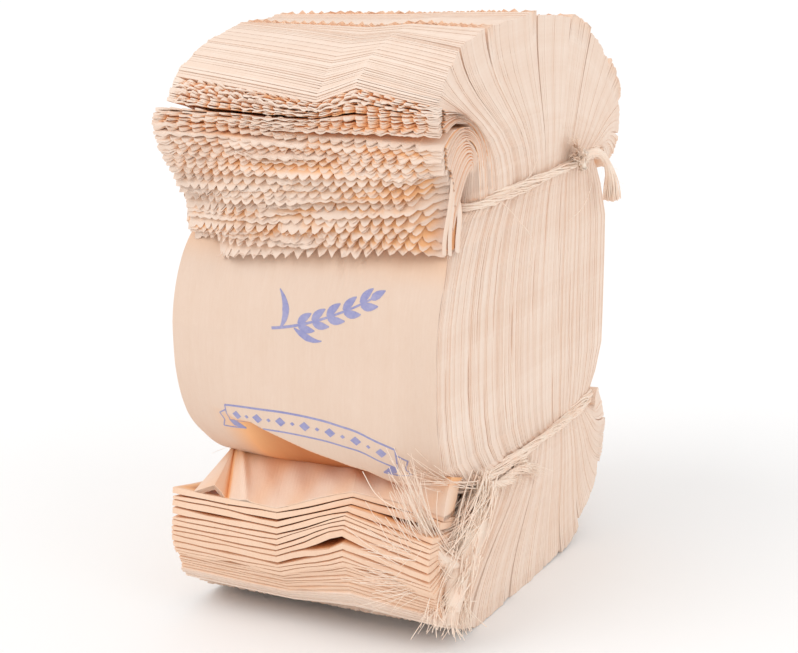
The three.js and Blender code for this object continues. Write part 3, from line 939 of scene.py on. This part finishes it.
front_rows = np.r_[0.0, 0.012, np.linspace(0.024, 0.3, 60), np.linspace(0.31, 0.98, 48)]
front_mesh, front_flat = flat_sheet(np.linspace(-1, 1, 91), front_rows)
across, along, depth = front_flat.T
bent = on_front(along, across, -0.2 * depth)
# Painted shade: darker in the dent under the lip, and a soft painted shadow below the hanging teeth
under_lip_shade = 1 - smooth((along - lip_edge(across) - 0.012) / 0.028)
front_shade = under_lip_shade * past(across, -0.78, 0.5) * smooth((1 - across) / 0.2)
front_shade = front_shade * (1.6 + 0.5 * past(across, -0.4, 0.4)) + 0.35 * past(along, 0.74, 0.12)
printed = kraft("printed_paper", colour(232, 208, 190), colour(225, 197, 176))
pile("printed_bag", front_mesh, front_flat, bent[None], [0], front_shade, printed,
     ("front_bag",))

# %% [markdown]
# ## The print
#
# The bags are printed in one violet blue ink with a mark in the middle and a ribbon below
# it. Plain ornaments stand here: an ear of grain, and a ribbon with diamonds. A texture
# could not keep such lines crisp without a picture, so each stroke is a thin strip, led
# over the front by the same function as the paper and lifted a few hundredths.


# %% Strokes of ink
STROKE_STEPS, INK_LIFT = 28, 0.07
stroke_mesh, stroke_flat = flat_sheet([-1, 0, 1], np.linspace(0, 1, STROKE_STEPS + 1))
strokes = []


def stroke(points, widths):
    """A strip along the points (millimetres right of the middle, above the low tie)."""
    points, widths = np.array(points, float), np.array(widths, float)
    length = lengths(points)
    at = stroke_flat[:, 1] * length[-1]
    step = length[-1] * 0.02
    ahead = unit(on_line(points, length, at + step) - on_line(points, length, at - step))
    half = np.interp(stroke_flat[:, 1], np.linspace(0, 1, len(widths)), widths) / 2
    place = on_line(points, length, at)
    place += np.stack([-ahead[:, 1], ahead[:, 0]], -1) * (stroke_flat[:, 0] * half)[:, None]
    lift = INK_LIFT * (1 - 0.8 * stroke_flat[:, 2])
    strokes.append(on_front(place[:, 1] / BETWEEN_TIES, place[:, 0] / HALF, lift))


def curve(start, bend, end, count=12):
    """A smooth bow from start to end that leans towards the bend."""
    t = np.linspace(0, 1, count)[:, None]
    start, bend, end = (np.array(p, float) for p in (start, bend, end))
    return (1 - t) ** 2 * start + 2 * t * (1 - t) * bend + t ** 2 * end


def grain_mark(root=(-9, 54), tip=(25, 66)):
    """An ear of grain: a bent stem with pairs of slanting kernels and a few beards."""
    stem = curve(root, (6, 56), tip, 40)
    stroke(stem, [0.9, 0.6])
    for k in range(5):
        at = stem[11 + 6 * k]
        ahead = unit(stem[13 + 6 * k] - at)
        for turn in (-1, 1):
            lean = 0.78 * ahead + 0.62 * turn * np.array([-ahead[1], ahead[0]])
            first = at + lean * 0.9
            stroke(curve(first, first + lean * 2.6 + ahead, first + lean * 3.4 + ahead * 2.8),
                   [0.5, 2.0, 2.5, 2.2, 1.4, 0.3])
    stroke(curve(tip, (27, 67.5), (29.5, 69)), [0.3, 2.2, 2.4, 1.6, 0.3])
    stroke(curve((-6, 54.3), (-2, 60), (-7, 66)), [0.4, 1.8, 2.4, 1.5, 0.3])
    stroke(curve((-1, 54.9), (5, 51), (9, 52)), [0.4, 1.7, 2.2, 1.4, 0.3])


def ribbon_line(across_mm, drop=0.0):
    """The ribbon's arched upper line; drop leads down to its lower line."""
    share = across_mm / HALF
    return np.stack([across_mm, BETWEEN_TIES * (0.302 - 0.1 * (share + 0.1) ** 2) - drop], -1)


def ribbon(left=-28.5, right=34.5, high=6.2):
    """The ribbon's outline with a folded tail at each end, and a row of diamonds."""
    span = np.linspace(left, right, 40)
    stroke(ribbon_line(span), [0.6, 0.6])
    stroke(ribbon_line(span, high), [0.45, 0.45])
    for end, out in ((left, -1), (right, 1)):
        top_end, low_end = ribbon_line(np.array([end]))[0], ribbon_line(np.array([end]), high)[0]
        stroke([top_end, low_end], [0.45, 0.45])
        inner = low_end + (-out * 5.5, 0.5)
        tuck = inner + (0, -2.6)
        stroke([low_end, (low_end + tuck) / 2, tuck], [0.5, 2.6, 2.2, 1.2, 0.4])
        outer = low_end + (out * 4.0, -2.8)
        notch = outer + (-out * 1.6, 2.6)
        corner = outer + (-out * 0.5, 5.2)
        for a, b in ((tuck, outer), (outer, notch), (notch, corner), (corner, top_end + (0, -1.6))):
            stroke([a, b], [0.42, 0.42])
    for k, middle in enumerate(np.linspace(left + 5, right - 5, 13)):
        at = ribbon_line(np.array([middle]), high / 2)[0]
        size = 1.9 if k % 2 == 0 else 0.8
        stroke([at - (size, 0), at + (size, 0)], [0.05, size * 1.5, 0.05])


def ink():
    paint = Paint("print_ink", Roughness=0.55, Specular_IOR_Level=0.25)
    place = paint.place()
    patchy = 0.5 * paint.noise(place, 900.0, 2) + 0.5 * paint.noise(place, 150.0, 2)
    return paint.shade(Base_Color=paint.blend(paint.ramp(patchy, 0.35, 0.65),
                                              colour(143, 144, 190), colour(168, 165, 198)))


grain_mark()
ribbon()
pile("print_marks", stroke_mesh, stroke_flat, np.stack(strokes), np.zeros(len(strokes)), 0, ink())

# %% [markdown]
# ## The flap below it
#
# The first folded bottom lies open on top of the others like a small ledge. Its back
# crease leans against the belly, higher at the right, and its front edge follows the
# first bottom's zigzag. At the left its side fold stands open: a three-cornered facet
# runs from the crease to a raised slit in the front edge. A grid between the two lines is
# enough for all of it, with soft wrinkles across, and behind the crease it turns down.


# %% The open flap
FACET = -0.86    # the grid's share at which the open side fold starts


def flap_point(share, side):
    """A point of the flap. Share is just under 0 where the front edge rolls over, 0 at that
    edge, 1 at the crease at the back and 2 where the sheet has turned down to the tie."""
    at_front = stops(side, (-1, -0.82), (FACET, -0.56), (1, 1))
    at_crease = stops(side, (-1, -0.99), (FACET, -0.97), (1, 1))
    low_end = np.full_like(side, -1.0)
    front = bag_point(np.zeros(1, int), low_end, at_front)
    right = (at_crease + 1) / 2
    crease = np.stack([mix(-43.6, 46.8, right), mix(-58, -69.5, right ** 1.3),
                       mix(51.3, 59.5, right) - 0.5 * np.sin(np.pi * right)], -1)
    tie = bag_point(np.zeros(1, int), np.full_like(side, -0.02), at_crease)
    t = np.clip(share, 0, 1)
    flat = mix(front, crease, t[..., None])
    lift = np.sin(np.pi * t)
    facet = 1 - smooth((side - FACET) / 0.02)
    wrinkle = (0.55 * np.sin(7.5 * side + 1.2 * share) + 0.5 * np.sin(14 * side - 2.5 * share + 0.6)
               + 0.35 * np.sin(25 * side + 4 * share) + 0.5 * np.abs(np.sin(9 * side - 1.7 * share + 2)))
    fold = bell(side - FACET - 0.005, 0.014) * (1 - 0.6 * t)
    ridge = bell(side - FACET - 0.07 - 0.12 * (1 - t), 0.035) * (0.4 + 0.6 * lift)
    beyond = np.clip((side - 1) / 0.15, 0, 1)
    flat[..., 1] += 9 * beyond
    flat[..., 0] += 0.6 * np.sin(beyond * np.pi / 2) - 1.2 * beyond ** 2
    flat[..., 2] -= 3.0 * beyond * t
    slit = np.interp(side, [-1, (FACET - 1) / 2 + 0.01, FACET], [0, 1, 0])
    rolled = smooth(-share / 0.05)
    swell = (1 - facet) * (lift * (0.3 + 0.9 * wrinkle) + 1.3 * ridge)
    flat[..., 2] += 0.35 - 1.5 * rolled + swell - 1.4 * fold
    flat[..., 2] += 3.3 * slit * (1 - t) ** 1.5
    flat[..., 1] += 1.2 * slit * (1 - t)
    return mix(flat, tie, smooth(share - 1)[..., None])


flap_sides = np.r_[np.linspace(-1, FACET, 13), np.linspace(FACET, -0.6, 16)[1:],
                   np.linspace(-0.6, 1, 60)[1:], np.linspace(1, 1.15, 9)[1:]]
flap_shares = np.r_[-0.05, -0.03, np.linspace(0, 1, 23), 1.03, 1.3, 1.7, 2]
flap_mesh, flap_flat = flat_sheet(flap_sides, flap_shares)
side, share, depth = flap_flat.T
flap_bent = flap_point(share, side)
flap_bent[:, 2] -= 0.3 * depth
flap_shade = (0.15 + 0.25 * past(side, 1, 0.1) + 0.9 * bell(side - FACET - 0.01, 0.018)
              + 0.55 * past(share, 0.55, 0.5)
              + 0.25 * np.abs(np.sin(9 * side - 1.7 * share + 0.4)) ** 3)
pile("open_flap", flap_mesh, flap_flat, flap_bent[None], [0], np.clip(flap_shade, 0, 1.1))

# %% [markdown]
# ## Sisal twine
#
# Sisal is a bundle of stiff pale fibres with little twist. The look of a twine is the
# look of its fibres, so it is not a tube with stripes: two yarns of a dozen fibres each
# wind round each other along the path, each round a core, and single hairs stand off.
# Each fibre is one line of a curve with a round section, and the curve is made a mesh.


# %% Fibres along a path
def smooth_path(points, step, closed=False):
    """Points at an even step on the spline through the given ones."""
    p = np.array(points, float)
    if closed:
        p = np.vstack([p[-1:], p, p[:2]])
    else:
        p = np.vstack([2 * p[:1] - p[1:2], p, 2 * p[-1:] - p[-2:-1]])
    t = np.linspace(0, 1, 24, endpoint=False)[:, None]
    parts = [spline(*near, t) for near in zip(p[:-3], p[1:-2], p[2:-1], p[3:])]
    fine = np.vstack(parts + [parts[0][:1] if closed else p[-2:-1]])
    length = lengths(fine)
    count = max(3, round(length[-1] / step))
    path = on_line(fine, length, np.linspace(0, length[-1], count + 1))
    return path[:-1] if closed else path


def frames_along(path, closed=False):
    """Two directions across the path at each of its points, turning as little as they can."""
    ahead = unit(np.roll(path, -1, 0) - np.roll(path, 1, 0) if closed else np.gradient(path, axis=0))
    side = np.cross(ahead, (0, 0, 1.0))
    if np.linalg.norm(side, axis=1).min() < 0.3:
        side[0] = np.cross(ahead[0], (0.3, 1.0, 0.2))
        for i in range(1, len(path)):
            side[i] = side[i - 1] - ahead[i] * (side[i - 1] @ ahead[i])
    side = unit(side)
    return side, np.cross(ahead, side)


LOWEST_FIBRE = 1.8    # no fibre's middle lies lower
FIBRE_STEP = 1.9      # between two points of a wound fibre


class Twine:
    """Collects fibres and turns them into one mesh."""

    def __init__(self):
        self.fibres = []

    def add(self, points, radius, closed=False):
        points = points.copy()
        points[:, 2] = np.maximum(points[:, 2], LOWEST_FIBRE)
        radii = np.broadcast_to(np.asarray(radius, float), len(points))
        self.fibres.append((points, radii, closed))

    def wind(self, points, closed=False, yarns=2, fibres=12, core=1.0, thick=0.34, pitch=120.0,
             flare=lambda t: 1.0):
        """Yarns round each other along the points; flare widens the bundle along its way."""
        path = smooth_path(points, FIBRE_STEP, closed)
        side, up = frames_along(path, closed)
        steps = np.arange(len(path))
        turns = max(1, round(len(path) * FIBRE_STEP / pitch))
        turning = steps / len(path) * turns if closed else steps * FIBRE_STEP / pitch
        turning = turning * 2 * np.pi
        wide = np.array([flare(t) for t in steps / max(1, len(path) - 1)])
        for yarn in range(yarns):
            round_path = turning + yarn * 2 * np.pi / yarns
            yarn_offset = 0.8 * core if yarns > 1 else 0
            middle = (side * (np.cos(round_path) * yarn_offset * wide)[:, None]
                      + up * (np.sin(round_path) * yarn_offset * wide)[:, None])
            self.add(path + middle, 0.85 * core * wide, closed)
            for fibre in range(fibres):
                lane = draw.uniform(0.75, 1.02) * core
                angle = fibre * 2.4 + turning * (2 if closed else 1.6) + draw.uniform(-0.2, 0.2)
                shake = draw.normal(0, 0.13, (len(path), 2))
                if closed:
                    shake = (shake + np.roll(shake, 1, 0) + np.roll(shake, 2, 0)) / 1.4
                else:
                    shake = np.cumsum(shake, 0) * 0.35
                a = (np.cos(round_path) * yarn_offset + np.cos(angle) * lane + shake[:, 0]) * wide
                b = (np.sin(round_path) * yarn_offset + np.sin(angle) * lane + shake[:, 1]) * wide
                self.add(path + side * a[:, None] + up * b[:, None],
                         thick * draw.uniform(0.8, 1.15), closed)
        return path

    def hairs(self, path, count, length, out, thick=0.07):
        """Loose hairs that leave the twine sideways."""
        for i in draw.integers(1, len(path) - 2, count):
            ahead = unit(path[i + 1] - path[i - 1])
            away = draw.normal(0, 1, 3)
            away = unit(away - ahead * (away @ ahead) * 0.5 + np.array(out(path[i])))
            long = draw.uniform(*length)
            bow = draw.normal(0, 0.25, 3)
            t = np.linspace(0, 1, 6)[:, None]
            ray = t * mix(ahead * draw.choice([-1, 1]), away, 0.3 + 0.6 * t) + bow * t ** 2
            self.add(path[i] + long * ray, thick * np.linspace(1, 0.4, 6))

    def spray(self, root, mid, end, count, start_width, end_width, thick=0.12, steps=7):
        """A frayed end: fibres start together, follow a bend and spread."""
        root, mid, end = (np.array(p, float) for p in (root, mid, end))
        for _ in range(count):
            shift = draw.normal(0, 1, 3)
            start = root + shift * start_width
            tip = mix(mid, end, draw.uniform(0.75, 1.1)) + draw.normal(0, 1, 3) * end_width
            bend = mid + shift * mix(start_width, end_width, 0.35)
            thin = thick * draw.uniform(0.7, 1.2) * np.linspace(1, 0.5, steps)
            self.add(curve(start, bend, tip, steps), thin)

    def piece(self, name, material, nodes):
        """Draws every fibre as a round line of one curve and makes that a mesh."""
        curve = bpy.data.curves.new(name, "CURVE")
        curve.dimensions, curve.bevel_depth, curve.bevel_resolution = "3D", 1, 0
        curve.use_fill_caps = True
        for points, radii, closed in self.fibres:
            spline = curve.splines.new("POLY")
            spline.points.add(len(points) - 1)
            co = np.column_stack([settle(points), np.ones(len(points))])
            spline.points.foreach_set("co", co.ravel())
            spline.points.foreach_set("radius", radii / 1000)
            spline.use_cyclic_u = closed
        drawn = bpy.data.objects.new(name + "_curve", curve)
        mesh = bpy.data.meshes.new_from_object(drawn)
        bpy.data.objects.remove(drawn)
        for face in mesh.polygons:
            face.use_smooth = True
        mesh.materials.clear()
        finish_piece(name, mesh, material, nodes)


def sisal():
    paint = Paint("sisal_twine", Roughness=0.55, Specular_IOR_Level=0.35)
    place = paint.place()
    patches = paint.noise(place, 160.0, 3)
    fine = paint.noise(place, 1400.0, 2)
    share = paint.ramp(0.7 * patches + 0.3 * fine, 0.3, 0.7)
    pale = paint.blend(share, colour(255, 228, 208), colour(255, 240, 224))
    return paint.shade(Base_Color=pale, Normal=paint.bump(fine, 0.25, 0.0002))


twine = sisal()
print("the twine's material is ready")

# %% [markdown]
# ## The two ties
#
# Each tie runs round the pinched paper, a little higher at the back. The knot of the
# upper one sits on the right side, with a short cut end that points at the viewer and a
# long one that hangs down and flares. The lower one frays at the front right corner.


# %% The ties' paths and ends
TIE_OUT = 1.3


def tie_point(height, across, depth):
    x = across * (HALF - squeeze(depth))
    y = (NECK[0] + NECK[1]) / 2 + depth * (NECK[1] - NECK[0]) / 2
    out_x, out_y = (np.sign(across), 0) if abs(across) == 1 else (0, np.sign(depth))
    return np.array([x + out_x * TIE_OUT, y + out_y * TIE_OUT, height + 2 * past(depth, -1, 2)])


def tie_path(height):
    corners = [(s, d) for s in (-0.92, -0.3, 0.3, 0.92) for d in (-1, 1)]
    places = corners + [(d, s) for s, d in corners]
    places.sort(key=lambda p: math.atan2(p[1], p[0]))
    return [tie_point(height, *p) for p in places]


top = Twine()
ring = top.wind(tie_path(HIGH_TIE), closed=True)
top.hairs(ring, 170, (3, 9), lambda p: (p[0] / 60, (p[1] + 2) / 60, 0.1), 0.09)
heart = tie_point(HIGH_TIE, 1, 0.52) + (1.4, 0, 1)
turn = np.linspace(0, 2 * np.pi, 40, endpoint=False)
knot = np.stack([1.0 * np.sin(3 * turn) + 0.8, 1.25 * (np.sin(turn) + 2 * np.sin(2 * turn)),
                 1.15 * (np.cos(turn) - 2 * np.cos(2 * turn))], -1)
top.wind(heart + knot, closed=True, yarns=1, fibres=14, core=1.25, thick=0.33, pitch=9)
tail_path = [heart + p for p in [(0, 0, 0), (3, 6, 1.5), (4.5, 12, -2), (4.8, 17, -9), (4.6, 20, -17)]]
tail = top.wind(tail_path, yarns=1, fibres=46, core=1.25, thick=0.34, pitch=150,
                flare=lambda t: 1.05 - 0.25 * smooth(t / 0.5) + 1.35 * past(t, 0.5, 0.5))
top.spray(heart, heart + (2.5, -6, 2.0), heart + (4, -11, 3), 90, 0.9, 1.3, 0.22)
top.spray(heart, heart + (1.5, -7, 5), heart + (2.5, -12, 9), 36, 0.7, 1.2, 0.16)
top.hairs(tail, 14, (3, 7), lambda p: (0.6, 0.3, -0.6))
for ends in ([(48, -38, 143), (52, -34, 137), (54, -26, 128), (53, -27, 117)],
             [(49, 26, 146), (53, 27, 140), (52, 22, 131), (50, 14, 127)],
             [(48, -30, 145), (51, -22, 149), (50, -14, 153)]):
    top.add(smooth_path(ends, 1.5), 0.13)
top.piece("upper_tie", twine, ("top_twine",))

low = Twine()
ring = low.wind(tie_path(LOW_TIE), closed=True)
low.hairs(ring, 190, (3, 9), lambda p: (p[0] / 60, (p[1] + 2) / 60, 0.0), 0.09)
corner = tie_point(LOW_TIE, 1, -0.88) + (1.2, -1, 0)
low.wind(corner + 0.75 * knot, closed=True, yarns=1, fibres=12, core=1.2, thick=0.33, pitch=9)
second = low.wind([corner + p for p in [(0, 0, 0), (1.5, 10, -3.5), (2.2, 22, -3.5), (2.2, 34, -3)]],
                  yarns=2, fibres=12, core=1.05, thick=0.34, pitch=30,
                  flare=lambda t: 1 + 0.4 * past(t, 0.6, 0.4))
low.hairs(second, 90, (3, 9), lambda p: (0.8, 0.2, -0.3), 0.1)
low.spray(corner + (2.2, 32, -3), corner + (2.5, 38, -4.5), corner + (2, 44, -10), 60, 0.9, 1.8, 0.14)
gather = np.array([48.5, -68, 30])
low.spray(corner, corner + (4, -7, -9), gather, 170, 2.3, 3.0, 0.3, 9)
low.spray(corner, corner + (3, -14, -6), gather + (-2, -5, 5), 90, 2.6, 3.8, 0.27, 9)
low.spray(corner + (1, -3, -6), corner + (-2, -18, -9), gather + (-7, -13, 4), 60, 2.6, 4.0, 0.22, 9)
# From the gathering point the loose fibres fan out over the folded bottoms:
# their number, the way to their bend, their end and its spread
FANS = [(40, (-4, -16, 8), (38, -84, 60), 4.0), (26, (-3, -14, 14), (37, -86, 68), 3.0),
        (34, (-5, -16, 6), (30, -88, 46), 5.0), (22, (-5, -16, -1), (24, -88, 34), 4.0),
        (16, (-4, -15, -5), (28, -86, 21), 3.5), (12, (-1, -9, -10), (43, -80, 12), 2.5)]
for count, bend, end, width in FANS:
    low.spray(gather, gather + bend, end, count, 1.7, width, 0.2, 9)
# A core of matted fibres fills the thick of the fray
for mat, radii in (([corner, corner + (3, -8, -9), gather], (2.07, 4.485, 5.06)),
                   ([gather, gather + (0, -4, -8), (48, -72, 11)], (5.06, 4.6, 2.07)),
                   ([gather, gather + (-3, -9, 6), (42, -81, 47)], (4.37, 3.45, 1.15))):
    path = smooth_path(mat, 1.5)
    low.add(path, np.interp(np.linspace(0, 1, len(path)), (0, 0.5, 1), radii))
low.spray(gather, gather + (-2, -8, -6), (46, -78, 14), 80, 3.0, 3.2, 0.27, 9)
low.spray(gather, gather + (1, -4, -10), (49, -68, 9), 80, 3.0, 3.2, 0.27, 9)
low.spray(corner, corner + (2, -16, 4), (40, -84, 66), 20, 1.0, 3.0, 0.18, 9)
low.add(smooth_path([(25, -88, 64), (30, -88, 57), (38, -87, 53), (46, -78, 46)], 2.0), 0.16)
low.piece("lower_tie", twine, ("bottom_twine",))

# %% [markdown]
# ## Camera, light and floor
#
# A photograph for a catalogue is lit from all sides, which leaves hardly a shadow. The
# world's even white light gives that, with two wide suns for a little direction. Suns
# are as strong far away as near, so the floor stays evenly pale up to its end.

# %% Camera, light and floor
AZIMUTH, ELEVATION = math.radians(27.93), math.radians(15.43)
FOCAL_PIXELS, PICTURE_WIDTH = 1808, 798
CAMERA_PLACE = np.array([284.0, -552.3, 257.6])
WORLD_STRENGTH = 0.88
FLOOR_HALF = 3    # metres
lens = bpy.data.cameras.new("camera")
lens.sensor_fit, lens.sensor_width = "HORIZONTAL", 36
lens.lens = FOCAL_PIXELS / PICTURE_WIDTH * lens.sensor_width
camera = put("camera", lens)
back = Vector((math.sin(AZIMUTH) * math.cos(ELEVATION), -math.cos(AZIMUTH) * math.cos(ELEVATION),
               math.sin(ELEVATION)))
camera.location = settle(CAMERA_PLACE)
camera.rotation_mode = "QUATERNION"
camera.rotation_quaternion = back.to_track_quat("Z", "Y")
bpy.context.scene.camera = camera
print("lens", round(lens.lens, 1), "mm")


def wide_sun(name, direction, power, angle):
    light = bpy.data.lights.new(name, "SUN")
    light.energy, light.angle = power, math.radians(angle)
    lamp = put(name, light)
    lamp.rotation_mode = "QUATERNION"
    lamp.rotation_quaternion = Vector(direction).to_track_quat("Z", "Y")


wide_sun("key", (-0.7, -1.0, 1.3), 0.7, 40)
wide_sun("side", (1.2, -0.2, 1.0), 0.3, 50)
world = bpy.data.worlds.new("studio")
world.use_nodes = True
sky = world.node_tree.nodes["Background"].inputs
sky["Color"].default_value = (1, 1, 1, 1)
sky["Strength"].default_value = WORLD_STRENGTH
bpy.context.scene.world = world
bpy.context.scene.view_settings.view_transform = "Standard"

bm = bmesh.new()
bmesh.ops.create_grid(bm, x_segments=1, y_segments=1, size=FLOOR_HALF)
floor = put("floor", mesh_from(bm, "floor"))
white = Paint("pale_floor", Roughness=0.8)
floor.data.materials.append(white.shade(Base_Color=(0.95, 0.95, 0.95, 1)))
